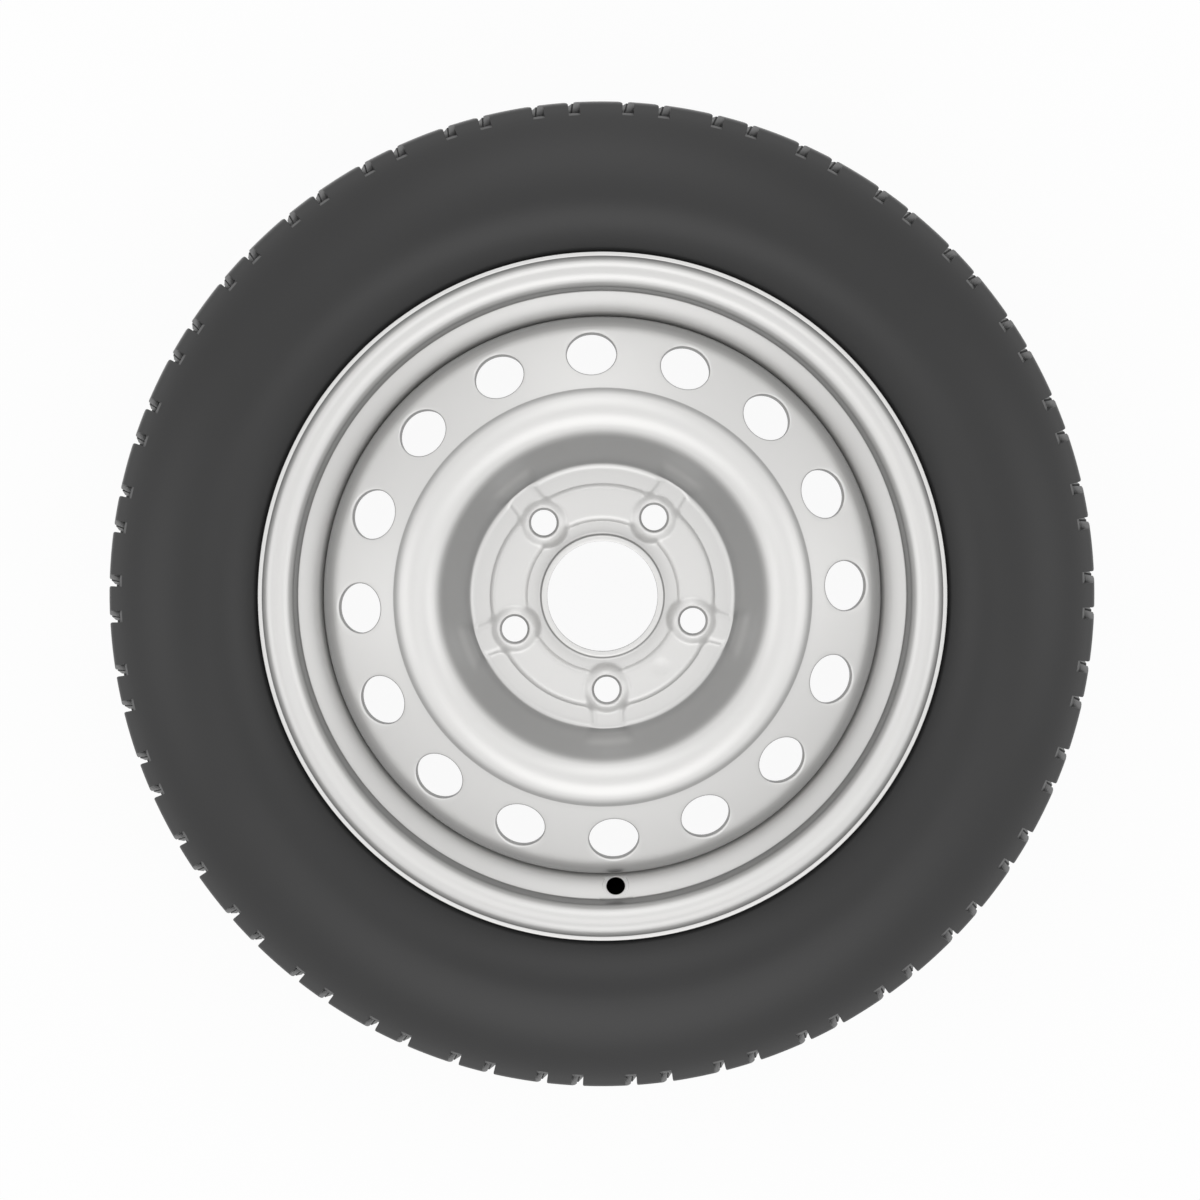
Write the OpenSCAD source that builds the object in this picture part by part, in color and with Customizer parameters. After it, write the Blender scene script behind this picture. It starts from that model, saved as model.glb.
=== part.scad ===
// Wheel and tyre assembly: a pressed steel disc wheel with a fitted tyre, lying on its inboard side.
// Millimetres. The wheel axis is Z, the outboard face looks up, the valve hole is at -Y,
// and Z = 0 is the lowest point of the tyre. Sections are drawn as [radius, height],
// with the height counted from the wheel's mid-plane.

/* [Tyre] */
// Section height, from the bead seat to the tread
section_h = 111.4; // [100:0.1:125]
// Section width at the widest point
section_width = 189; // [182:0.5:205]
// Height of the widest point above the bead seat
bulge_h = 51.9; // [44:0.1:58]
// Width across the tread
tread_width = 140; // [128:0.5:150]
// Drop of the tread at its shoulders
shoulder_drop = 5.3; // [4:0.1:8]
// Depth of the circumferential grooves
tread_depth = 8; // [4:0.5:9]
// Belt and casing thickness under the grooves
belt_t = 8; // [6:0.5:12]
// Sidewall thickness
sidewall_t = 8; // [5:0.5:11]
// Width of the circumferential grooves
groove_w = 7.3; // [4:0.1:10]
// Mid-plane to the inner circumferential grooves
groove_near = 14; // [10:0.5:20]
// Mid-plane to the outer circumferential grooves
groove_far = 41; // [34:0.5:46]
// Pairs of shoulder blocks round the tyre
block_pairs = 34; // [24:1:44]
// Share of a pair's angle that its shorter block takes
short_block = 0.4; // [0.3:0.01:0.5]
// Width of the lateral grooves
lateral_w = 7.2; // [4:0.1:10]
// Slant of the lateral grooves
lateral_slant = 8.3; // [0:0.1:15]

/* [Rim] */
// Rim diameter at the bead seat
rim_dia = 380.2; // [368:0.1:406]
// Rim width between the flanges
rim_width = 139.7; // [127:0.1:150]
// Flange height above the bead seat
flange_h = 17.3; // [15:0.1:19]
// Rim sheet thickness
rim_t = 2.5; // [2:0.1:3]
// Depth of the well below the bead seat
well_depth = 17.3; // [14:0.1:22]
// Valve hole diameter
valve_d = 11.3; // [8:0.1:16]
// Width of the flat pressed round the valve hole
valve_land = 2.45; // [1.5:0.05:4]

/* [Disc] */
// Disc sheet thickness
disc_t = 3.8; // [3:0.1:4.5]
// Inset, from the mid-plane to the mounting face
inset = 47; // [40:0.5:52]
// Centre bore diameter
bore_d = 67.1; // [54:0.1:70]
// Height of the bore collar above the mounting face
collar_h = 13.5; // [10:0.5:18]
// Bolt circle diameter
pcd = 114.3; // [108:0.1:122]
// Number of bolt holes
bolt_count = 5; // [3:1:6]
// Bolt hole diameter at its waist
bolt_d = 15.5; // [12:0.1:18]
// Width of the flat top of a bolt boss round its hole
boss_land = 3.35; // [2.2:0.05:5]
// Height of the bolt bosses
boss_h = 5.1; // [3:0.1:7]
// Width of the raised ring that carries the bolt holes
ring_w = 23.3; // [20:0.1:25]
// Rise of the bolt ring
ring_rise = 1.8; // [1:0.1:2.5]
// Width of the gutter between the bolt ring and the bowl wall
gutter_w = 11.2; // [9:0.1:14]
// Width of the lands that cross the gutter
land_w = 20.8; // [14:0.1:28]
// Slope of the bowl wall
wall_a = 60; // [54:1:66]
// Height of the crown above the mounting face
crown_h = 41.5; // [37:0.5:45]
// Radius over the crown
crown_rad = 18; // [14:0.5:21]
// Fall outside the crown
fall_a = 48; // [40:1:56]
// Slope of the zone with the ventilation holes
vent_slope = 30; // [25:0.5:34]
// Number of ventilation holes
vent_count = 16; // [8:1:22]
// Ventilation hole diameter
vent_d = 30; // [20:0.5:32]
// Distance of the ventilation holes' centres from the well
vent_edge = 23; // [21:0.1:26]
// Length of the disc's seat in the rim
seat_len = 16.5; // [10:0.5:24]
// Angle of the locating dimple from the first bolt hole
dimple_at = 37; // [30:1:42]

/* [Welds] */
// Number of weld beads between disc and rim
weld_count = 8; // [4:1:11]
// Leg of the fillet weld
weld_leg = 4; // [3:0.1:6]
// Angle that one weld bead covers
weld_span = 30; // [10:1:32]

/* [Hidden] */
$fn = 96;

mid = section_width / 2;
first_bolt = -90;

// Points of sections

// Point at angle a on a circle
function on(c, r, a) = [c[0] + r * cos(a), c[1] + r * sin(a)];

// Points of an arc from a1 to a2, at most step degrees apart
function arc(c, r, a1, a2, step = 11) =
    let (n = max(1, ceil(abs(a2 - a1) / step)))
    [for (i = [0:n]) on(c, r, a1 + (a2 - a1) * i / n)];

function unit(v) = v / norm(v);
function tail(list) = [for (i = [1:len(list) - 1]) list[i]];
function reversed(list) = [for (i = [len(list) - 1:-1:0]) list[i]];
function mirrored(list) = reversed([for (p = list) [p[0], -p[1]]]);

// Rounds the corner b between a and c with radius r
function corner(a, b, c, r, step) =
    let (u = unit(a - b), v = unit(c - b), half = acos(u * v) / 2,
         m = b + unit(u + v) * r / sin(half),
         p = b + u * r / tan(half) - m, q = b + v * r / tan(half) - m,
         a1 = atan2(p[1], p[0]), turn = atan2(q[1], q[0]) - a1,
         a2 = a1 + (turn > 180 ? turn - 360 : turn < -180 ? turn + 360 : turn))
    arc(m, r, a1, a2, step);

// Turns a list of [radius, height, corner radius] into points
function rounded(list, step = 11) =
    let (p = [for (l = list) [l[0], l[1]]])
    [for (i = [0:len(list) - 1])
        each (list[i][2] == 0 ? [p[i]] : corner(p[i - 1], p[i], p[i + 1], list[i][2], step))];

// Unit normal to the right of the way from a to b
function side(a, b) = let (d = unit(b - a)) [d[1], -d[0]];

// Moves an open line of points to its right by t
function parallel(pts, t) =
    let (last = len(pts) - 1)
    [for (i = [0:last])
        let (n1 = side(pts[i == 0 ? 0 : i - 1], pts[i == 0 ? 1 : i]),
             n2 = side(pts[i == last ? i - 1 : i], pts[i == last ? i : i + 1]))
        pts[i] + (n1 + n2) * t / (1 + n1 * n2)];

// Crossing of the line through p at angle a with the line through q at angle b
function crossing(p, a, q, b) =
    let (x = (q[1] - p[1] + p[0] * tan(a) - q[0] * tan(b)) / (tan(a) - tan(b)))
    [x, p[1] + (x - p[0]) * tan(a)];

module turned(pts) {
    translate([0, 0, mid]) rotate_extrude() polygon(pts);
}

// Rim

seat_r = rim_dia / 2;
half_w = rim_width / 2;
flange_r = seat_r + flange_h;
well_r = seat_r - well_depth;
well_in = well_r - rim_t;
taper = 5;
slope_a = 25;
lip_h = 1.2;
curl_r = 9.5;
curl_step = 10;
curl_c = [flange_r - curl_r, half_w + curl_r];
heel_r = 6.5;
heel_c = [seat_r - heel_r * tan(taper) + heel_r / cos(taper), half_w - heel_r];
ledge = 21.2;
ledge_r = 4;
foot_r = 1.5;
hump_h = 0.7;

// Radius of the bead seat at a distance d in from the flange
function seat_at(d) = seat_r - d * tan(taper);

lip = [flange_r, curl_c[1] + lip_h];
curl = arc(curl_c, curl_r, 0, -90, curl_step);
heel = arc(heel_c, heel_r, 90, 180 - taper);
heel_end = heel[len(heel) - 1];
ledge_p = [seat_at(ledge), half_w - ledge];
slope_foot = [well_r, half_w - ledge - (seat_at(ledge) - well_r) * tan(slope_a)];
well_top = slope_foot[1] - foot_r * tan((90 - slope_a) / 2);
ledge_arc = corner(heel_end, ledge_p, slope_foot, ledge_r, 15);
toe = ledge_arc[0];

// Outboard flange, bead seat and the slope down to the well, on the tyre's side
outboard_half = concat([lip], curl, heel, ledge_arc,
    corner(ledge_p, slope_foot, [well_r, 0], foot_r, 33));

// Ramp, safety hump, bead seat and flange on the inboard side
inboard_half = concat(
    tail(rounded([[slope_foot[0], slope_foot[1], 0], [well_r, 70 - half_w, 9], [seat_r - 5.6, 45 - half_w, 12],
        [seat_r - 4.9, 27 - half_w, 4], [seat_at(ledge) + hump_h, ledge + 1.2 - half_w, 3],
        [seat_at(ledge - 1.3), ledge - 1.3 - half_w, 6], [toe[0], -toe[1], 0]], 15)),
    mirrored(heel), mirrored(curl), [[lip[0], -lip[1]]]);

rim_line = concat(outboard_half, inboard_half);

valve_r = well_in + 7.7;
valve_z = ledge_p[1] + rim_t / cos(slope_a) - (ledge_p[0] - valve_r) * tan(slope_a);
valve_flat = 0.35;

module rim() {
    color([0.8, 0.8, 0.79])
    difference() {
        turned(concat(rim_line, reversed(parallel(rim_line, rim_t))));
        rotate([0, 0, -90]) translate([valve_r, 0, mid + valve_z]) rotate([0, -slope_a, 0]) {
            cylinder(h = 8 * rim_t, d = valve_d, center = true);
            translate([0, 0, -valve_flat]) cylinder(h = 2 * rim_t, d = valve_d + 2 * valve_land);
        }
    }
}

// Disc

face_z = inset + disc_t;
ring_z = face_z + ring_rise;
crown_z = inset + crown_h;
collar_top = inset + collar_h;
collar_r = bore_d / 2 + disc_t;
collar_edge = 1.4;
ring_in = (pcd - ring_w) / 2;
ring_out = (pcd + ring_w) / 2;
bowl_r = ring_out + gutter_w;
disc_end = well_top - seat_len;
step_run = ring_rise / tan(38);

crown_c = [bowl_r + (crown_z - crown_rad * (1 - cos(wall_a)) - face_z) / tan(wall_a) + crown_rad * sin(wall_a),
    crown_z - crown_rad];
fall_p = on(crown_c, crown_rad, 90 - fall_a);
apex = crossing([bowl_r, face_z], wall_a, fall_p, -fall_a);
vent_fillet = 3;
fall_run = vent_fillet * tan((fall_a - vent_slope) / 2) + 0.03;
vent_top = [fall_p[0] + fall_run * cos(fall_a), fall_p[1] - fall_run * sin(fall_a)];
function vent_z(r) = vent_top[1] - (r - vent_top[0]) * tan(vent_slope);

// Outboard surface of the disc, from the bore collar to the end of its seat in the rim
disc_line = rounded([
    [collar_r, collar_top - collar_edge, 0],
    [collar_r, face_z, 2],
    [ring_in, face_z, 1],
    [ring_in + step_run, ring_z, disc_t + 1.7],
    [ring_out - step_run, ring_z, disc_t + 1.7],
    [ring_out, face_z, 1],
    [bowl_r, face_z, 5],
    [apex[0], apex[1], crown_rad],
    [vent_top[0], vent_top[1], vent_fillet],
    [well_in, vent_z(well_in), 20],
    [well_in, disc_end, 0]]);

boss_top = bolt_d / 2 + boss_land;
boss_foot = boss_top + boss_h;
skin = disc_t * (sqrt(2) - 1);
bolt_seat = 2.4;

module at_bolts() {
    for (i = [0:bolt_count - 1]) rotate([0, 0, first_bolt + i * 360 / bolt_count]) children();
}

// Land from a boss to the bowl wall, flared at its root
module land(half, top, height) {
    flare = half + 3.2;
    translate([0, 0, mid + top - height]) linear_extrude(height)
        polygon([[ring_out - 7, -half], [ring_out - 1.5, -flare], [ring_out + 2, -half], [bowl_r + 0.5, -half],
            [bowl_r + 0.5, half], [ring_out + 2, half], [ring_out - 1.5, flare], [ring_out - 7, half]]);
}

// Point at height h on the bowl wall, moved into the sheet by d
function wall_at(h, d) = [bowl_r + h / tan(wall_a) + d / sin(wall_a), face_z + h];

// Rib that carries the land a little way up the bowl wall
module rib() {
    rib_h = 14.5;
    proud = 1;
    translate([0, land_w / 2, mid]) rotate([90, 0, 0]) linear_extrude(land_w)
        polygon([[bowl_r - 4, face_z - 1], [bowl_r - 4, ring_z], [bowl_r - 0.8, ring_z],
            wall_at(4.6, -proud), wall_at(rib_h, -proud), wall_at(rib_h + 2, proud),
            wall_at(rib_h - 2, 1.8), wall_at(1, 1.8), [bowl_r, face_z - 1]]);
}

module disc_blank() {
    turned(concat(arc([collar_r - collar_edge, collar_top - collar_edge], collar_edge, 90, 0, 30),
        tail(disc_line), reversed(tail(parallel(disc_line, disc_t))), [[bore_d / 2, collar_top]]));
}

// Hole, seat for the nut and the hollow behind a boss
module bolt_hole() {
    translate([pcd / 2, 0, mid + inset]) {
        cylinder(h = 8 * disc_t, d = bolt_d, center = true);
        translate([0, 0, disc_t + boss_h - bolt_seat])
            cylinder(h = 2 * bolt_seat, r1 = bolt_d / 2, r2 = bolt_d / 2 + 2 * bolt_seat * tan(30));
        cylinder(h = boss_h, r1 = boss_foot - skin, r2 = boss_top - skin);
    }
}

module vent_holes() {
    vent_r = well_in - vent_edge;
    for (i = [0:vent_count - 1]) rotate([0, 0, first_bolt + i * 360 / vent_count])
        translate([vent_r, 0, mid + vent_z(vent_r)]) rotate([0, vent_slope, 0])
            cylinder(h = vent_d, d = vent_d, center = true);
}

module dimple() {
    ball_r = 40;
    depth = 0.4;
    rotate([0, 0, first_bolt + dimple_at]) translate([pcd / 2 - 1, 0, mid + ring_z + ball_r - depth])
        rotate([90, 0, 0]) sphere(r = ball_r);
}

module disc() {
    color([0.82, 0.82, 0.81])
    difference() {
        union() {
            disc_blank();
            at_bolts() {
                translate([pcd / 2, 0, mid + face_z]) cylinder(h = boss_h, r1 = boss_foot, r2 = boss_top);
                land(land_w / 2, ring_z, ring_rise + 1);
                rib();
            }
        }
        at_bolts() {
            bolt_hole();
            land(land_w / 2 - 2.2, ring_z - disc_t - 0.3, disc_t);
        }
        vent_holes();
        dimple();
    }
}

// Fillet welds under the end of the disc's seat

module weld_beads() {
    bead = [[0, 0], [-0.9, 0], [-0.55, -0.5], [-0.22, -0.8], [0, -1]];
    color([0.7, 0.7, 0.69])
    for (i = [0:weld_count - 1]) rotate([0, 0, (i + 0.5) * 360 / weld_count - weld_span / 2])
        translate([0, 0, mid]) rotate_extrude(angle = weld_span)
            polygon([for (p = bead) [well_in, disc_end] + p * weld_leg]);
}

// Tyre

tyre_r = seat_r + section_h;
bulge_r = seat_r + bulge_h;
pitch = 360 / block_pairs;

// Radius of the arc that is square to the widest point and passes through p
function wide_rad(p) = (pow(mid - p[1], 2) + pow(bulge_r - p[0], 2)) / (2 * (mid - p[1]));

// Angle at which p lies on that arc
function wide_angle(p) = atan2(p[1] - mid + wide_rad(p), p[0] - bulge_r);

// The tyre shares the points of the flange's curl, and leaves them later the further it stands out over the flange
lift_n = round(atan((mid - half_w) / curl_r) / curl_step);
bead_curl = [for (i = [0:lift_n]) on(curl_c, curl_r, i * curl_step - 90)];
lift = bead_curl[len(bead_curl) - 1];
edge = [tyre_r - shoulder_drop, tread_width / 2];
low_rad = wide_rad(lift);
top_rad = wide_rad(edge);
low_c = [bulge_r, mid - low_rad];
top_c = [bulge_r, mid - top_rad];

// Outside, from the bead toe to the middle of the tread
tyre_out = concat([toe], reversed(heel), bead_curl,
    tail(arc(low_c, low_rad, wide_angle(lift), 90, 8)),
    tail(arc(top_c, top_rad, 90, wide_angle(edge), 8)),
    [[tyre_r - shoulder_drop * 0.55, tread_width / 2 - 6.5], [tyre_r - 0.7, tread_width / 2 - 26], [tyre_r, 20]]);

// Inside, from the bead toe to the middle of the belt. The shares say how much of the way from the widest point
// to the flange and to the tread's edge the inner arcs cover.
low_share = 0.55;
top_share = 0.73;
tyre_in = concat([[seat_r + 11.4, toe[1] + 1.5]],
    arc(low_c, low_rad - sidewall_t, acos((lift[0] - bulge_r) * low_share / (low_rad - sidewall_t)), 90, 12),
    tail(arc(top_c, top_rad - sidewall_t, 90, acos((edge[0] - bulge_r) * top_share / (top_rad - sidewall_t)), 10)),
    [[tyre_r - tread_depth - belt_t, tread_width / 2 - 13]]);

module groove_ring(z) {
    foot = groove_w / 2 - 1;
    mouth = groove_w / 2 + 0.4;
    turned([[tyre_r - tread_depth, z - foot], [tyre_r + 3, z - mouth],
        [tyre_r + 3, z + mouth], [tyre_r - tread_depth, z + foot]]);
}

// Lateral groove that slants as it runs in from the shoulder to the inner groove
module lateral() {
    foot_lean = 2.1;
    top_lean = -2.9;
    rise = 1.8;
    run_in = tread_width / 2 - groove_near - 2;
    run_out = mid - tread_width / 2 + 6;
    translate([tyre_r - tread_depth - 2.3, 0, mid + tread_width / 2]) rotate([lateral_slant, 0, 0])
        rotate([0, -rise, 0]) translate([0, 0, -run_in]) linear_extrude(run_in + run_out)
            polygon([[0, foot_lean], [0, foot_lean - lateral_w], [16, top_lean + 0.8 - lateral_w], [16, top_lean]]);
}

module lateral_grooves() {
    first_groove = 84.96;
    for (i = [0:block_pairs - 1]) rotate([0, 0, first_groove - i * pitch]) {
        lateral();
        rotate([0, 0, -short_block * pitch]) lateral();
    }
}

module tyre() {
    color([0.13, 0.13, 0.13])
    difference() {
        turned(concat(tyre_out, mirrored(tyre_out), mirrored(reversed(tyre_in)), reversed(tyre_in)));
        for (z = [-groove_far, -groove_near, groove_near, groove_far]) groove_ring(z);
        lateral_grooves();
        translate([0, 0, 2 * mid]) rotate([180, 0, 0]) lateral_grooves();
    }
}

tyre();
rim();
disc();
weld_beads();
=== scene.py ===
# Wheel and tyre assembly: a pressed steel disc wheel with a fitted tyre, lying on its inboard side.
# Pieces are shaped in millimetres, with heights from the wheel's mid-plane, and brought to metres when done.
import bisect
import math
import bmesh
import bpy
from mathutils import Matrix, Vector


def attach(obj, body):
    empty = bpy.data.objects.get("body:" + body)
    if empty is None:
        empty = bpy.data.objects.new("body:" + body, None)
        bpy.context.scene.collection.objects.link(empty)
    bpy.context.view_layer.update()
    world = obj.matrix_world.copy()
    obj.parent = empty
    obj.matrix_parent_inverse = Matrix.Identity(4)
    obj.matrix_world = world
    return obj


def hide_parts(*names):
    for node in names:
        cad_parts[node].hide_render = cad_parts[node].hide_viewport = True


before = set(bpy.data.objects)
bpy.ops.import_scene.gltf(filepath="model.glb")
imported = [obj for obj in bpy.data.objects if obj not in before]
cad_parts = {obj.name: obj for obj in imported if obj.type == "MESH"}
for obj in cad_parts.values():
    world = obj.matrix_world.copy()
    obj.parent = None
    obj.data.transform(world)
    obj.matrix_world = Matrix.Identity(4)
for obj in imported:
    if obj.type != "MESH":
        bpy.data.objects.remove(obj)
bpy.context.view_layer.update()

# Height of the wheel's mid-plane over the floor, which is half the tyre's width
MID = 94.5

# Disc: sheet, heights of the hub face and of the raised ring on it, collar, ring's edge, foot of the bowl's
# wall, seat in the rim's well and its end
DISC_T = 3.8
FACE = 50.8
RING = 52.6
COLLAR_R = 37.35
COLLAR_TOP = 60.5
RING_OUT = 68.8
BOWL = 80.0
WELL_IN = 170.3
SEAT_END = 23.99

# Bolt bosses and the lands that run from the ring to the bowl's wall beside them
BOLT_CIRCLE = 57.15
BOSS_H = 5.1
BOSS_FOOT = 16.2
LAND_HALF = 10.4

# Vents: where their row lies on the slope
VENT_CIRCLE = 147.3

# Rim: sheet, and the radii of its flange curl and bead heel
RIM_T = 2.5
CURL = 9.5
HEEL = 6.5

# Degrees from one column of faces to the next
COLUMN = 1.5
FINE_COLUMN = 0.5

# Walls of the holes, ring by ring: radius, and the step down from the ring before it
BOLT_SEAT = [(9.4, 0.03), (9.15, 0.17), (8.45, 0.95), (7.8, 1.05), (7.75, 0.4), (7.75, 0.8), (7.85, 0.25)]
VENT_EDGE = [(15.75, 0.02), (15.42, 0.1), (15.15, 0.23), (15.0, 0.4), (15.0, 2.45), (15.08, 0.3),
             (15.25, 0.2)]

# The valve hole's pad and wall: radius, and the depth under the pad
VALVE_EDGE = [(8.0, 0.0), (7.0, 0.0), (6.0, 0.0), (5.85, 0.06), (5.7, 0.2), (5.65, 0.5), (5.65, 1.7),
              (5.8, 1.95)]


# Sections, as lines of points with a radius and a height

def on(centre, radius, degrees):
    a = math.radians(degrees)
    return Vector((centre[0] + radius * math.cos(a), centre[1] + radius * math.sin(a)))


def arc(centre, radius, start, end, step=6):
    count = max(1, math.ceil(abs(end - start) / step))
    return [on(centre, radius, start + (end - start) * i / count) for i in range(count + 1)]


def fillet(before, corner, after, radius, step):
    """The arc that rounds off a corner between two straight stretches."""
    u = (before - corner).normalized()
    v = (after - corner).normalized()
    half = math.acos(max(-1, min(1, u.dot(v)))) / 2
    middle = corner + (u + v).normalized() * radius / math.sin(half)
    p = corner + u * radius / math.tan(half) - middle
    q = corner + v * radius / math.tan(half) - middle
    start = math.degrees(math.atan2(p.y, p.x))
    turn = (math.degrees(math.atan2(q.y, q.x)) - start + 180) % 360 - 180
    return arc(middle, radius, start, start + turn, step)


def rounded(corners, step=6):
    """A line through corners, each with a radius, a height and the radius that rounds it off."""
    points = [Vector(c[:2]) for c in corners]
    line = []
    for i, c in enumerate(corners):
        if c[2] == 0:
            line.append(points[i])
        else:
            line.extend(fillet(points[i - 1], points[i], points[i + 1], c[2], step))
    return line


def spaced(line, gap):
    """The line with points added, so that none lie further apart than the gap allows."""
    out = [line[0]]
    for a, b in zip(line, line[1:]):
        count = max(1, math.ceil((b - a).length / gap(a, b) - 1e-6))
        out.extend(a.lerp(b, i / count) for i in range(1, count + 1))
    return out


def side(a, b):
    d = (b - a).normalized()
    return Vector((d.y, -d.x))


def parallel(line, t):
    """The line set off to its right by the sheet's thickness."""
    out = []
    last = len(line) - 1
    for i, p in enumerate(line):
        n1 = side(line[max(0, i - 1)], line[max(1, i)])
        n2 = side(line[min(last - 1, i)], line[min(last, i + 1)])
        out.append(p + (n1 + n2) * t / (1 + n1.dot(n2)))
    return out


def flipped(line):
    """A line on the other side of the mid-plane, run the other way."""
    return [Vector((p.x, -p.y)) for p in reversed(line)]


def height(line, r):
    """Height of a section that rises with the radius, at radius r."""
    i = bisect.bisect_left(line, r, key=lambda p: p[0])
    if i == 0 or i == len(line):
        return line[min(i, len(line) - 1)][1]
    a, b = line[i - 1], line[i]
    return a[1] + (b[1] - a[1]) * (r - a[0]) / max(b[0] - a[0], 1e-9)


def soft_max(a, b, power=4):
    """The larger of two heights, with a bend where they meet."""
    return (max(a, 0) ** power + max(b, 0) ** power) ** (1 / power)


def soft_min(a, b, blend):
    """The smaller of two heights, with a bend where they meet."""
    h = max(0, min(1, 0.5 + 0.5 * (b - a) / blend))
    return b + (a - b) * h - blend * h * (1 - h)


def ease(edge0, edge1, x):
    """Goes from 0 at one edge to 1 at the other, slowly at both."""
    t = max(0, min(1, (x - edge0) / (edge1 - edge0)))
    return t * t * (3 - 2 * t)


# Meshes

def spin(bm, line, steps, start, sweep, closed=True):
    """Turns a section through part of a circle about the wheel's axis."""
    turn = Matrix.Rotation(math.radians(start), 3, "Z")
    verts = [bm.verts.new(turn @ Vector((p[0], 0, p[1]))) for p in line]
    edges = [bm.edges.new((a, b)) for a, b in zip(verts, verts[1:] + verts[:1])]
    if not closed:
        bm.edges.remove(edges.pop())
    bmesh.ops.spin(bm, geom=verts + edges, cent=(0, 0, 0), axis=(0, 0, 1), angle=math.radians(sweep),
                   steps=steps)
    outward(bm)


def sector(line, columns, column, closed=True):
    """Part of a turned form, with the middle of a column of faces at -Y."""
    bm = bmesh.new()
    spin(bm, line, columns, -90 - (columns // 2 + 0.5) * column, columns * column, closed)
    return bm


def outward(bm):
    """Turns all faces to look out of the sheet, going by the topmost face, which looks up."""
    bmesh.ops.recalc_face_normals(bm, faces=bm.faces)
    if max(bm.faces, key=lambda f: f.calc_center_median().z).normal.z < 0:
        bmesh.ops.reverse_faces(bm, faces=bm.faces)


def seam(bm):
    """Joins sectors where their open edges meet."""
    border = {v for e in bm.edges if e.is_boundary for v in e.verts}
    bmesh.ops.remove_doubles(bm, verts=list(border), dist=2e-3)


def around(parts, count):
    """Sets sectors side by side round the axis. parts pairs each sector with the places that it fills."""
    bm = bmesh.new()
    for part, places in parts:
        mesh = bpy.data.meshes.new("sector")
        part.to_mesh(mesh)
        part.free()
        for i in places:
            before = len(bm.verts)
            bm.from_mesh(mesh)
            bm.verts.ensure_lookup_table()
            bmesh.ops.rotate(bm, cent=(0, 0, 0), matrix=Matrix.Rotation(2 * math.pi * i / count, 3, "Z"),
                             verts=bm.verts[before:])
        bpy.data.meshes.remove(mesh)
    seam(bm)
    return bm


def window(bm, width, wanted, centre, axis, radius, rings):
    """Opens a window some degrees wide at -Y and closes it up to a circle.

    Returns the circle's edges and all new points."""
    chosen = set()
    for face in bm.faces:
        c = face.calc_center_median()
        if wanted(c, face.normal) and abs(math.atan2(c.x, -c.y)) < math.radians(width / 2):
            chosen.add(face)
    border = [e for e in {e for f in chosen for e in f.edges} if sum(g in chosen for g in e.link_faces) == 1]
    bmesh.ops.delete(bm, geom=list(chosen), context="FACES")
    place = Matrix.Translation(centre) @ axis.to_track_quat("Z", "Y").to_matrix().to_4x4()
    circle = bmesh.ops.create_circle(bm, cap_ends=False, radius=radius, segments=len(border), matrix=place)
    edges = list({e for v in circle["verts"] for e in v.link_edges})
    made = bmesh.ops.bridge_loops(bm, edges=border + edges)["edges"]
    fresh = bmesh.ops.subdivide_edges(bm, edges=made, cuts=rings, use_grid_fill=True)["geom_inner"]
    verts = {g for g in fresh if isinstance(g, bmesh.types.BMVert)} | {v for e in edges for v in e.verts}
    return edges, verts


def wall(bm, edges, steps, place):
    """Carries a hole's edge on in rings, and returns the last one. place gives a point's new spot."""
    for step in steps:
        made = bmesh.ops.extrude_edge_only(bm, edges=edges)["geom"]
        verts = {g for g in made if isinstance(g, bmesh.types.BMVert)}
        edges = [g for g in made if isinstance(g, bmesh.types.BMEdge) and set(g.verts) <= verts]
        for v in verts:
            v.co = place(v.co, *step)
    return edges


def straight(centre, axis):
    """Places a hole's rings down a straight axis, each a step below the last."""
    def place(point, radius, depth):
        off = point - centre
        along = off.dot(axis)
        return centre + (off - axis * along).normalized() * radius + axis * (along - depth)
    return place


def piece(name, bm, node):
    """Finishes a piece in metres over the floor, which replaces its CAD node."""
    outward(bm)
    bmesh.ops.translate(bm, verts=bm.verts, vec=(0, 0, MID))
    bmesh.ops.scale(bm, verts=bm.verts, vec=(0.001, 0.001, 0.001))
    for face in bm.faces:
        face.smooth = True
    for edge in bm.edges:
        edge.smooth = edge.calc_face_angle(0) < math.radians(38)
    mesh = bpy.data.meshes.new(name)
    bm.to_mesh(mesh)
    bm.free()
    obj = bpy.data.objects.new(name, mesh)
    bpy.context.scene.collection.objects.link(obj)
    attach(obj, "root")
    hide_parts(node)
    return obj


def polar(r, degrees, z=0.0):
    a = math.radians(degrees)
    return Vector((r * math.cos(a), r * math.sin(a), z))


# Disc

wall_slope = math.tan(math.radians(60))
crown_c = Vector((112.16, 70.5))
fall_p = on(crown_c, 18, 42)
apex_r = (fall_p.y - FACE + BOWL * wall_slope + fall_p.x * math.tan(math.radians(48)))
apex_r = apex_r / (wall_slope + math.tan(math.radians(48)))
apex = Vector((apex_r, FACE + (apex_r - BOWL) * wall_slope))
vent_top = Vector((125.87, 82.17))
VENT_FALL = math.radians(30)


def vent_z(r):
    return vent_top.y - (r - vent_top.x) * math.tan(VENT_FALL)


def disc_gap(a, b):
    r = (a.x + b.x) / 2
    if r < 92:
        return 1.25 if r < BOWL else 2.2
    return 3.5


front = spaced(rounded([
    (COLLAR_R, COLLAR_TOP - 1.4, 0), (COLLAR_R, FACE, 2), (45.5, FACE, 1), (47.8, RING, 5.5),
    (66.5, RING, 5.5), (RING_OUT, FACE, 1), (BOWL, FACE, 5), (apex.x, apex.y, 18),
    (vent_top.x, vent_top.y, 3), (WELL_IN, vent_z(WELL_IN), 20), (WELL_IN, SEAT_END + 0.4, 0)]), disc_gap)
SPLIT = bisect.bisect_left([p.x for p in front], 101)
under = parallel(front, DISC_T)
back = under[:SPLIT:2]
BACK_SPLIT = len(back)
back += [under[SPLIT]] + under[SPLIT + 2:-1:2] + [under[-1]]


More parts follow.
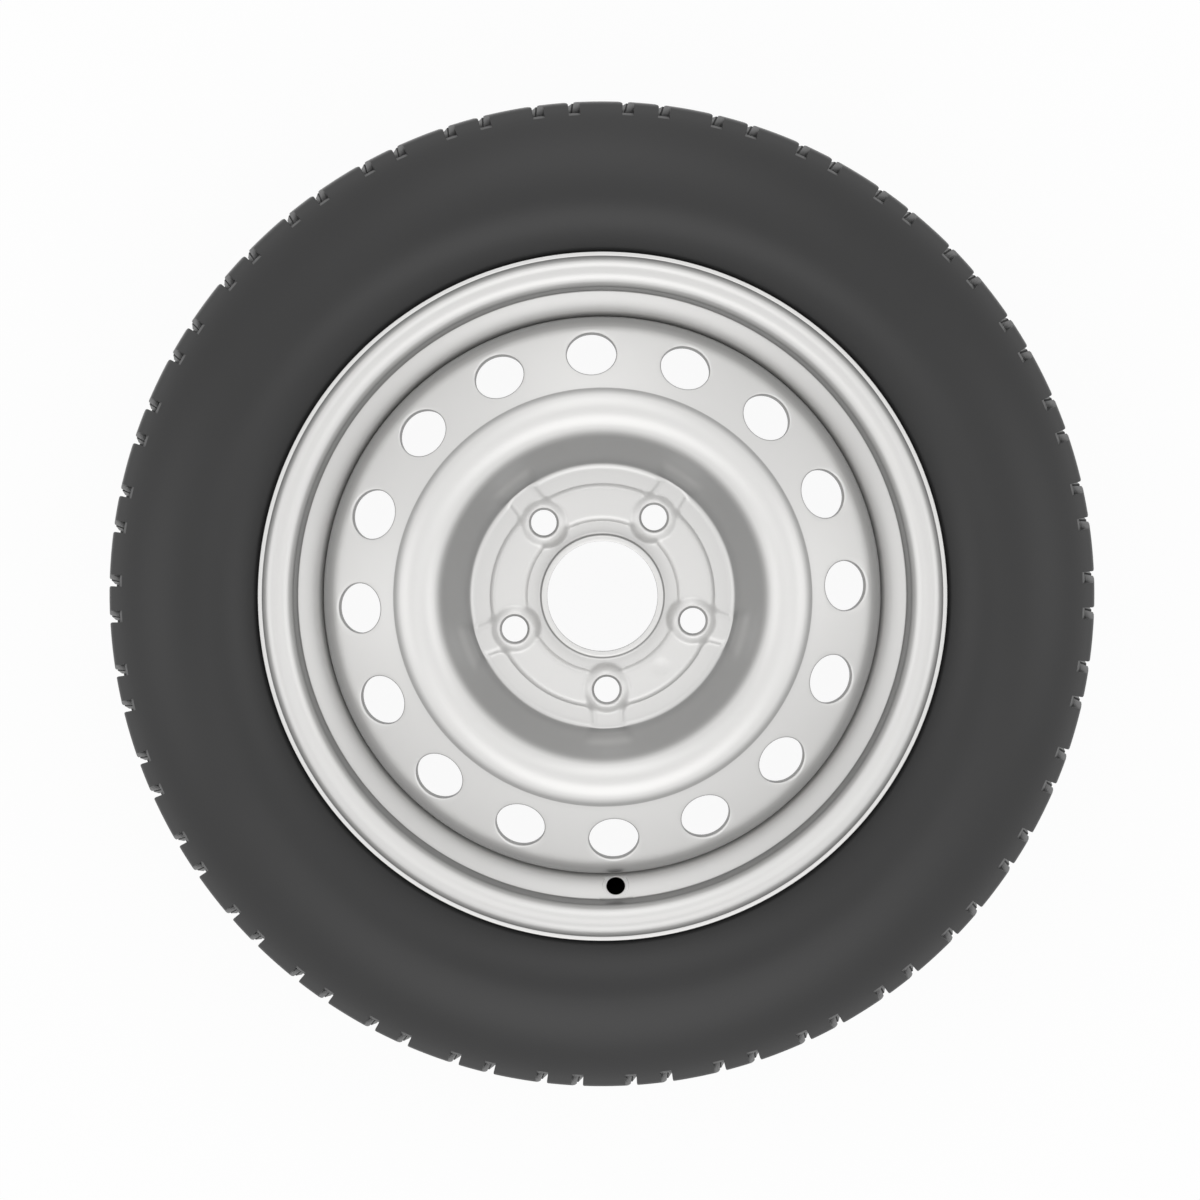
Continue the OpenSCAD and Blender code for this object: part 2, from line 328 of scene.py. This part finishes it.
def hub_rise(x, y):
    """How far bosses, lands and ribs stand over the turned section."""
    r = math.hypot(x, y)
    if r < 39.4 or r > 100:
        return 0.0
    turned = height(front, r)
    swing = (math.degrees(math.atan2(y, x)) + 90 + 36) % 72 - 36
    u = r * math.cos(math.radians(swing))
    v = abs(r * math.sin(math.radians(swing)))
    top = turned
    if r > 60:
        edge = soft_min(r - RING_OUT, v - LAND_HALF, 5) if u > 50 else r - RING_OUT
        ledge = height(front, RING_OUT + max(-9, min(6, edge)))
        flank = turned - FACE if r > 74 else 0
        top = FACE + soft_max(ledge - FACE, flank, 3)
        rib = ease(1.4, -1.4, v - LAND_HALF - max(0, r - BOWL) * 0.42)
        top += 1.7 * rib * ease(1.5, 4.5, turned - FACE) * ease(19, 9, turned - FACE)
    boss = soft_min(BOSS_H, (BOSS_FOOT - math.hypot(u - BOLT_CIRCLE, v)) * 0.78, 2.8)
    top = FACE + soft_max(top - FACE, boss, 4) if boss > 0 else top
    return top - turned


def row_at(line, r):
    rows = [p.x for p in line]
    return rows[bisect.bisect_left(rows, r)]


def disc_hole(bm, columns, reach, centre, axis, radii, rings):
    """Opens both faces of the sheet round a hole at -Y, some columns wide, and returns the two edges."""
    ends = []
    for line, facing, radius in ((front, 1, radii[0]), (back, -1, radii[1])):
        inner, outer = row_at(line, reach[0]), row_at(line, reach[1])
        middle = centre if facing > 0 else centre - axis * DISC_T

        def wanted(c, n):
            return inner < math.hypot(c.x, c.y) < outer and n.z * facing > 0.2

        edges, verts = window(bm, columns * COLUMN, wanted, middle, axis, radius, rings)
        for v in verts:
            v.co.z = height(line, math.hypot(v.co.x, v.co.y))
        ends.append(edges)
    return ends


def refine(bm, inner, outer, keep):
    """Halves the front's faces between two radii, for its narrow steps, except at the edges to keep."""
    held = {f for e in keep for v in e.verts for f in v.link_faces}
    chosen = [f for f in bm.faces if f not in held and f.normal.z > 0.2
              and inner < math.hypot(*f.calc_center_median().xy) < outer]
    edges = list({e for f in chosen for e in f.edges})
    made = bmesh.ops.subdivide_edges(bm, edges=edges, cuts=1, use_grid_fill=True)["geom_inner"]
    for v in made:
        if isinstance(v, bmesh.types.BMVert):
            v.co.z = height(front, math.hypot(v.co.x, v.co.y))


def make_disc():
    lip = [Vector(p) for p in ((33.55, 60.15), (33.65, 60.4), (33.9, 60.5), (35.95, 60.5))]
    lip += arc((35.95, 59.1), 1.4, 75, 15, 15)
    foot = [Vector(p) for p in ((170.15, 24.05), (169.9, 23.99), (166.9, 23.99), (166.6, 24.1))]
    hub = sector(back[BACK_SPLIT::-1] + lip + front[:SPLIT + 1], 48, COLUMN, closed=False)
    centre = polar(BOLT_CIRCLE, -90, FACE + BOSS_H)
    up = Vector((0, 0, 1))
    top, low = disc_hole(hub, 21, (40.2, 75.2), centre, up, radii=(9.8, 8.6), rings=9)
    refine(hub, 61, 78, top)
    for v in hub.verts:
        v.co.z += hub_rise(v.co.x, v.co.y)
    last = wall(hub, top, BOLT_SEAT, straight(centre, up))
    bmesh.ops.bridge_loops(hub, edges=last + low)
    outer = sector(front[SPLIT:] + foot + back[:BACK_SPLIT - 1:-1], 15, COLUMN, closed=False)
    centre = polar(VENT_CIRCLE, -90, vent_z(VENT_CIRCLE))
    axis = polar(math.sin(VENT_FALL), -90, math.cos(VENT_FALL))
    top, low = disc_hole(outer, 13, (128.6, 163.2), centre, axis, radii=(16.2, 15.7), rings=4)
    last = wall(outer, top, VENT_EDGE, straight(centre, axis))
    bmesh.ops.bridge_loops(outer, edges=last + low)
    bm = around([(outer, range(16))], 16)
    ring = bpy.data.meshes.new("ring")
    bm.to_mesh(ring)
    bm.free()
    bm = around([(hub, range(5))], 5)
    dimple = polar(56.15, -53)
    for v in bm.verts:
        off = math.hypot(v.co.x - dimple.x, v.co.y - dimple.y)
        if off < 5.7:
            v.co.z -= max(0, 0.4 - off * off / 80)
    bm.from_mesh(ring)
    bpy.data.meshes.remove(ring)
    seam(bm)
    return piece("disc_shell", bm, "disc")


# Rim

# The flange's edge, the ends of the curl, the middles of curl and heel, the ledge and the foot of the slope
flange_r = 207.4
curl_end = 80.2
curl_c = Vector((197.9, 79.35))
heel_c = Vector((196.06, 63.35))
ledge_p = Vector((188.245, 48.65))
foot_p = Vector((172.8, 41.45))
SLOPE = math.radians(25)


def on_slope(point, centre, along, axis, slope):
    """Brings a point onto the turned slope, along the valve hole's axis."""
    off = point - centre
    u, x = off.dot(along), off.x
    rise = 0.0
    for _ in range(3):
        spot = centre + along * u + axis * rise
        bow = math.hypot(x, spot.y) + spot.y
        rise = height(slope, u + bow * math.cos(SLOPE)) + bow * math.sin(SLOPE)
    return centre + Vector((x, 0, 0)) + along * u + axis * rise


def rim_section():
    """The rim's closed section, whose side towards the tyre comes first, then the side towards the axle."""
    heel = arc(heel_c, HEEL, 90, 175, 7)
    outboard = [Vector((flange_r, curl_end))] + arc(curl_c, CURL, 0, -90, 6) + heel
    outboard += fillet(heel[-1], ledge_p, foot_p, 4, 5)
    outboard += fillet(ledge_p, foot_p, Vector((172.8, 0)), 6.5, 8)
    inboard = rounded([
        (172.8, 36, 0), (172.8, 0.15, 9), (184.5, -24.85, 12), (185.2, -42.85, 4), (188.95, -47.45, 3),
        (190.1 - 19.9 * math.tan(math.radians(5)), -49.95, 6), (189.58, -63.92, 0)], 7)
    inboard += flipped(arc(heel_c, HEEL, 90, 170, 7)) + flipped(arc(curl_c, CURL, 0, -84, 6))
    inboard += [Vector((flange_r, -curl_end))]
    outer = spaced(outboard + inboard, lambda a, b: 3.0)
    inner = parallel(outer, RIM_T)
    lip_c = Vector((flange_r - RIM_T / 2, curl_end - 0.95))
    left = [Vector(p) for p in ((-1.22, 1.0), (-1.1, 1.18), (-0.85, 1.29), (-0.5, 1.3))]
    lip = [lip_c + p for p in left] + [lip_c + Vector((-p.x, p.y)) for p in reversed(left)]
    return outer + flipped(lip) + inner[::-1] + lip, outer, inner


def make_rim():
    section, outer, inner = rim_section()
    plain = sector(section, 5, COLUMN)
    pierced = sector(section, 15, FINE_COLUMN)
    axis = Vector((0, math.sin(SLOPE), math.cos(SLOPE)))
    along = Vector((0, -math.cos(SLOPE), math.sin(SLOPE)))
    centre = Vector((0, -178.0, 46.63))
    ends, lines = [], []
    for line, facing, drop, radius in ((inner, 1, 0, 8.1), (outer, -1, RIM_T, 7.0)):
        near = [(Vector((0, -p.x, p.y)) - centre) for p in line if p.y > 32 and p.x < 188]
        slope = sorted((Vector((p.dot(along), p.dot(axis))) for p in near), key=lambda p: p.x)

        def wanted(c, n):
            off = Vector((0, c.y, c.z)) - centre
            inside = -9.6 < off.dot(along) < 9.6 and -7 < off.dot(axis) < 2
            return inside and n.dot(axis) * facing > 0.1

        edges, verts = window(pierced, 13 * FINE_COLUMN, wanted, centre - axis * drop, axis, radius, 2)
        for v in verts:
            v.co = on_slope(v.co, centre, along, axis, slope)
        ends.append(edges)
        lines.append(slope)

    def sunk(point, radius, depth):
        off = point - centre
        flat = (off - axis * off.dot(axis)).normalized() * radius
        found = on_slope(centre + flat, centre, along, axis, lines[0])
        level = min((found - centre).dot(axis), -0.35)
        return centre + flat + axis * (level - depth)

    last = wall(pierced, ends[0], VALVE_EDGE, sunk)
    bmesh.ops.bridge_loops(pierced, edges=last + ends[1])
    bm = around([(plain, range(1, 48)), (pierced, [0])], 48)
    return piece("rim_shell", bm, "rim")


# Tyre

# Tread: how often its pattern repeats, the angle of its first cross groove, the width of such grooves, the
# radius of their floor and the height of the shoulder's edge
PITCHES = 34
PITCH = 360 / PITCHES
FIRST_GROOVE = 84.96
LATERAL_W = 7.2
GROOVE_FOOT = 291.2
SHOULDER = 70

# Rubber of the sidewall, and the radii of the tread and of the sidewall's widest place
SIDEWALL = 8
tyre_r = 301.5
bulge_r = 242.0


def wide_radius(p):
    """Radius of the sidewall's arc through p, which is widest at the bulge."""
    return ((MID - p.y) ** 2 + (bulge_r - p.x) ** 2) / (2 * (MID - p.y))


def wide_arc(p, angle_from, angle_to, step, inward=0):
    radius = wide_radius(p)
    return arc((bulge_r, MID - radius), radius - inward, angle_from, angle_to, step)


def wide_angle(p):
    return math.degrees(math.atan2(p.y - MID + wide_radius(p), p.x - bulge_r))


def column_angles():
    """Angles of the columns in one pitch of the tread, and which of the columns are grooves."""
    groove = math.degrees(LATERAL_W / 299)
    short = 0.4 * PITCH
    long_block = PITCH - short - groove
    runs = [(long_block * 4 / 7, 4, False), (groove, 2, True), (short - groove, 4, False), (groove, 2, True),
            (long_block * 3 / 7, 3, False)]
    angles, cut, at = [], [], -long_block * 4 / 7
    for width, count, is_groove in runs:
        for i in range(count):
            angles.append(at + width * i / count)
            cut.append(is_groove)
        at += width
    return angles + [at], cut


def tyre_section():
    """The tyre's closed section, from the outboard toe over the tread to the other toe, and back inside."""
    bead = arc(curl_c, CURL, -90, -20, 7)
    lift, edge = bead[-1], Vector((296.2, SHOULDER))
    toe = Vector((188.45, 50.95))
    outside = [toe] + arc(heel_c, HEEL, 175, 90, 9) + bead
    outside += wide_arc(lift, wide_angle(lift), 90, 5)[1:] + wide_arc(edge, 90, wide_angle(edge), 4)[1:]
    shoulder = [(297.4, 68.7), (298.6, 63.5), (300.1, 53), (300.75, 45.1)]
    far = [(293.9, 44.0), (293.5, 43.5), (293.5, 38.5), (293.9, 38.0), (301.0, 36.9)]
    near = [(301.1, 27), (301.4, 18.1), (293.9, 17.0), (293.5, 16.5), (293.5, 11.5), (293.9, 11.0),
            (tyre_r, 9.9)]
    outside += [Vector(p) for p in shoulder + far + near + [(tyre_r, 0)]]
    low = Vector((206.83, 76.1))
    inside = [Vector((201.5, 52.45))] + wide_arc(low, 125, 90, 8, SIDEWALL)
    inside += wide_arc(edge, 90, 52, 8, SIDEWALL)[1:] + [Vector((285.5, 57)), Vector((285.5, 20))]
    outside = spaced(outside, lambda a, b: 5.6)
    inside = spaced(inside, lambda a, b: 20)[::-1]
    return outside + flipped(outside[:-1]) + flipped(inside) + inside


def groove_faces(bm, cut, step):
    """The tread's faces that cross grooves take in."""
    found = set()
    for face in bm.faces:
        c = face.calc_center_median()
        column = int(math.degrees(math.atan2(c.y, c.x)) / step)
        r = math.hypot(c.x, c.y)
        if cut[column] and 14 < abs(c.z) and r > GROOVE_FOOT and (r > 293 or abs(c.z) > SHOULDER - 10):
            found.add(face)
    return found


def place_columns(bm, angles, step):
    """Sets the columns to the blocks' edges on the tread, with the grooves' slant and place on each side."""
    slant = math.tan(math.radians(8.3))
    outboard = FIRST_GROOVE - 0.4 * PITCH - 1.3
    inboard = 0.1 - FIRST_GROOVE
    for v in bm.verts:
        r = math.hypot(v.co.x, v.co.y)
        index = round(math.degrees(math.atan2(v.co.y, v.co.x)) / step)
        share = ease(230, 285, r)
        plain = angles[0] + index * step
        reach = min(max(0, SHOULDER - abs(v.co.z)), 56)
        lean = math.degrees(math.copysign(1, v.co.z) * slant * reach / 300)
        offset = inboard + (outboard - inboard - 16 * PITCH) * ease(-14, 14, v.co.z)
        angle = math.radians(plain + (angles[index] - plain) * share + offset + lean * share)
        v.co.x = r * math.cos(angle)
        v.co.y = r * math.sin(angle)


def sink_grooves(bm, grooves):
    made = bmesh.ops.extrude_face_region(bm, geom=list(grooves))["geom"]
    bmesh.ops.delete(bm, geom=list(grooves), context="FACES")
    for v in made:
        if not isinstance(v, bmesh.types.BMVert):
            continue
        r = math.hypot(v.co.x, v.co.y)
        foot = min(r, GROOVE_FOOT + max(0, SHOULDER - abs(v.co.z)) * 0.0314)
        tilt = math.radians(0.9 * (r - foot) / 10) * math.copysign(1, v.co.z) * 0.45
        a = math.atan2(v.co.y, v.co.x) + tilt
        v.co.x = foot * math.cos(a)
        v.co.y = foot * math.sin(a)


def make_tyre():
    angles, cut = column_angles()
    step = PITCH / len(cut)
    bm = bmesh.new()
    spin(bm, tyre_section(), len(cut), 0, PITCH)
    grooves = groove_faces(bm, cut, step)
    place_columns(bm, angles, step)
    sink_grooves(bm, grooves)
    bm = around([(bm, range(PITCHES))], PITCHES)
    return piece("tyre_carcass", bm, "tyre")


# Finishes

# Colour of the paint from face on to grazing: partly the flake paint's own flop, and partly painted shade
# that darkens steep walls, rounded edges and crevices
SILVER_FLOP_AND_SHADE = [(0.0, (0.81, 0.806, 0.796)), (0.17, (0.81, 0.806, 0.796)), (0.32, (0.55, 0.548, 0.542)),
               (0.50, (0.41, 0.409, 0.406)), (0.72, (0.30, 0.30, 0.298)), (1.0, (0.28, 0.28, 0.278))]


class Value:
    """A socket that takes part in arithmetic, which adds the Math nodes it needs."""

    def __init__(self, nodes, socket):
        self.nodes = nodes
        self.socket = socket

    def maths(self, operation, a, b):
        made = self.nodes.node("ShaderNodeMath", dict(operation=operation), {0: a, 1: b})
        return Value(self.nodes, made.outputs[0])

    def __add__(self, other):
        return self.maths("ADD", self, other)

    def __radd__(self, other):
        return self.maths("ADD", other, self)

    def __sub__(self, other):
        return self.maths("SUBTRACT", self, other)

    def __rsub__(self, other):
        return self.maths("SUBTRACT", other, self)

    def __mul__(self, other):
        return self.maths("MULTIPLY", self, other)

    def __rmul__(self, other):
        return self.maths("MULTIPLY", other, self)

    def or_more(self, other):
        return self.maths("MAXIMUM", self, other)


class Nodes:
    """The nodes of a material or of the world."""

    def __init__(self, owner):
        owner.use_nodes = True
        self.tree = owner.node_tree

    def node(self, kind, settings, inputs):
        made = self.tree.nodes.new(kind)
        for key, value in settings.items():
            if key == "stops":
                stops = made.color_ramp.elements
                while len(stops) < len(value):
                    stops.new(0.5)
                for stop, (position, colour) in zip(stops, value):
                    stop.position = position
                    stop.color = colour if len(colour) == 4 else (*colour, 1)
            else:
                setattr(made, key, value)
        self.feed(made, inputs)
        return made

    def feed(self, node, inputs):
        for key, value in inputs.items():
            value = getattr(value, "socket", value)
            if isinstance(value, bpy.types.NodeSocket):
                self.tree.links.new(value, node.inputs[key])
            else:
                node.inputs[key].default_value = value


class Finish(Nodes):
    """A material, made on its Principled shader."""

    def __init__(self, name):
        self.material = bpy.data.materials.new(name)
        super().__init__(self.material)
        self.shader = self.tree.nodes["Principled BSDF"]
        self.object_space = self.node("ShaderNodeTexCoord", {}, {}).outputs["Object"]

    def noise(self, scale, detail=2.0, rough=0.5):
        made = self.node("ShaderNodeTexNoise", {}, {"Vector": self.object_space, "Scale": scale,
                                                    "Detail": detail, "Roughness": rough})
        return Value(self, made.outputs["Fac"])

    def blend(self, factor, a, b):
        made = self.node("ShaderNodeMix", dict(data_type="RGBA"), {0: factor, 6: (*a, 1), 7: (*b, 1)})
        return made.outputs[2]

    def set(self, **values):
        self.feed(self.shader, {key.replace("_", " ").title(): value for key, value in values.items()})

    def bump(self, amount, distance):
        made = self.node("ShaderNodeBump", {}, {"Height": amount, "Distance": distance, "Strength": 1.0})
        self.set(normal=made.outputs[0])


def silver_paint():
    """Flake paint, which is light face on and darker where it is seen at a slant: partly its own flop, and
    partly painted shade on steep walls, edges and in crevices.
    """
    finish = Finish("silver_paint")
    flake = finish.noise(2600, 1.0)
    cloud = finish.noise(14, 3.0)
    peel = finish.noise(420, 2.0, 0.45)
    slant = finish.node("ShaderNodeLayerWeight", {}, {"Blend": 0.5}).outputs["Facing"]
    # This ramp paints shade into the colour: steep walls, rounded edges and crevices turn darker, on top of
    # the paint's own flop
    flop_and_shade = finish.node("ShaderNodeValToRGB", dict(stops=SILVER_FLOP_AND_SHADE), {"Fac": slant}).outputs[0]
    tone = 0.5 + (cloud - 0.5) * 0.5 + (flake - 0.5) * 0.5
    speck = finish.blend(tone, (0.95, 0.95, 0.95), (1.0, 0.995, 0.99))
    paint = finish.node("ShaderNodeMix", dict(data_type="RGBA", blend_type="MULTIPLY"),
                        {0: 1.0, 6: flop_and_shade, 7: speck})
    finish.set(base_color=paint.outputs[2], metallic=0.45, coat_weight=0.4, coat_roughness=0.2,
               roughness=0.38 + (cloud - 0.5) * 0.06 + (flake - 0.5) * 0.04)
    finish.bump(peel * 0.7 + flake * 0.3, 0.00002)
    return finish.material


def tyre_rubber():
    finish = Finish("tyre_rubber")
    grain = finish.noise(1500, 2.0)
    bloom = finish.noise(9, 4.0)
    smear = finish.noise(60, 3.0)
    tone = 0.5 + (bloom - 0.5) * 0.9 + (smear - 0.5) * 0.35
    finish.set(base_color=finish.blend(tone, (0.012, 0.012, 0.0122), (0.017, 0.017, 0.0174)),
               roughness=0.42 + (bloom - 0.5) * 0.06 + (smear - 0.5) * 0.04)
    finish.feed(finish.shader, {"IOR": 1.56})
    finish.bump(grain, 0.00003)
    return finish.material


def weld_steel():
    finish = Finish("weld_paint")
    ripple = finish.noise(260, 2.0)
    grain = finish.noise(900, 2.0)
    finish.set(base_color=finish.blend(ripple, (0.60, 0.595, 0.59), (0.74, 0.735, 0.73)), metallic=0.3,
               roughness=0.4 + (ripple - 0.5) * 0.2, coat_weight=0.2)
    finish.bump(ripple * 0.8 + grain * 0.2, 0.0003)
    return finish.material


silver = silver_paint()
for obj, finish in ((make_disc(), silver), (make_rim(), silver), (make_tyre(), tyre_rubber())):
    obj.data.materials.append(finish)
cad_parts["weld_beads"].material_slots[0].material = weld_steel()


# Floor, light and camera

# How strongly the surround lights the wheel
SURROUND = 0.8


def backdrop(name, colour, share):
    """A surface that the camera and reflections see as white, with a little of the true shadow."""
    finish = Finish(name)
    finish.set(base_color=(*colour, 1), roughness=0.8)
    glow = finish.node("ShaderNodeEmission", {}, {"Color": (1, 1, 1, 1), "Strength": 1.0})
    ray = finish.node("ShaderNodeLightPath", {}, {}).outputs
    seen = Value(finish, ray["Is Camera Ray"]).or_more(ray["Is Glossy Ray"])
    seen = seen.or_more(ray["Is Transmission Ray"])
    mix = finish.node("ShaderNodeMixShader", {},
                      {0: seen * share, 1: finish.shader.outputs[0], 2: glow.outputs[0]})
    finish.feed(finish.tree.nodes["Material Output"], {"Surface": mix.outputs[0]})
    return finish.material


def make_floor():
    bm = bmesh.new()
    bmesh.ops.create_grid(bm, x_segments=2, y_segments=2, size=6.0)
    mesh = bpy.data.meshes.new("studio_floor")
    bm.to_mesh(mesh)
    bm.free()
    obj = bpy.data.objects.new("studio_floor", mesh)
    bpy.context.scene.collection.objects.link(obj)
    mesh.materials.append(backdrop("floor_white", (0.86, 0.86, 0.86), 0.94))


def lamp(name, place, size, power):
    """A round soft lamp that points at the wheel."""
    data = bpy.data.lights.new(name, "AREA")
    data.shape = "DISK"
    data.size = size
    data.energy = power
    obj = bpy.data.objects.new(name, data)
    obj.location = place
    obj.rotation_euler = (Vector((0, 0, 0.15)) - Vector(place)).to_track_quat("-Z", "Y").to_euler()
    bpy.context.scene.collection.objects.link(obj)


def make_world():
    """A white surround, which the camera sees at full strength and which lights the wheel a little less."""
    world = bpy.data.worlds.new("studio")
    bpy.context.scene.world = world
    surround = Nodes(world)
    ray = surround.node("ShaderNodeLightPath", {}, {}).outputs["Is Camera Ray"]
    strength = SURROUND + Value(surround, ray) * (1 - SURROUND)
    surround.feed(surround.tree.nodes["Background"], {"Color": (1, 1, 1, 1), "Strength": strength})


def make_camera():
    eye = Vector((-0.0145, 0.0672, 2.200))
    target = Vector((-0.00164, -0.00218, 0.1545))
    roll = math.radians(2.64)
    ahead = (target - eye).normalized()
    right = ahead.cross(Vector((0, 1, 0))).normalized()
    up = right.cross(ahead)
    right_rolled = right * math.cos(roll) - up * math.sin(roll)
    up_rolled = right * math.sin(roll) + up * math.cos(roll)
    data = bpy.data.cameras.new("camera")
    data.sensor_width = 36
    data.lens = 101.09
    data.clip_end = 50
    obj = bpy.data.objects.new("camera", data)
    turn = Matrix((right_rolled, up_rolled, -ahead)).transposed()
    obj.matrix_world = Matrix.Translation(eye) @ turn.to_4x4()
    bpy.context.scene.collection.objects.link(obj)
    bpy.context.scene.camera = obj


make_floor()
lamp("lamp_near", (0.0, -1.31, 2.16), 1.9, 8)
lamp("lamp_far", (0.0, 1.54, 1.99), 1.4, 3)
lamp("lamp_low", (0.0, 2.08, 1.35), 1.4, 1.5)
lamp("lamp_left", (-1.84, 0.0, 1.69), 1.4, 3)
lamp("lamp_right", (1.84, 0.0, 1.69), 1.4, 3)
make_world()
make_camera()
bpy.context.scene.view_settings.view_transform = "Standard"
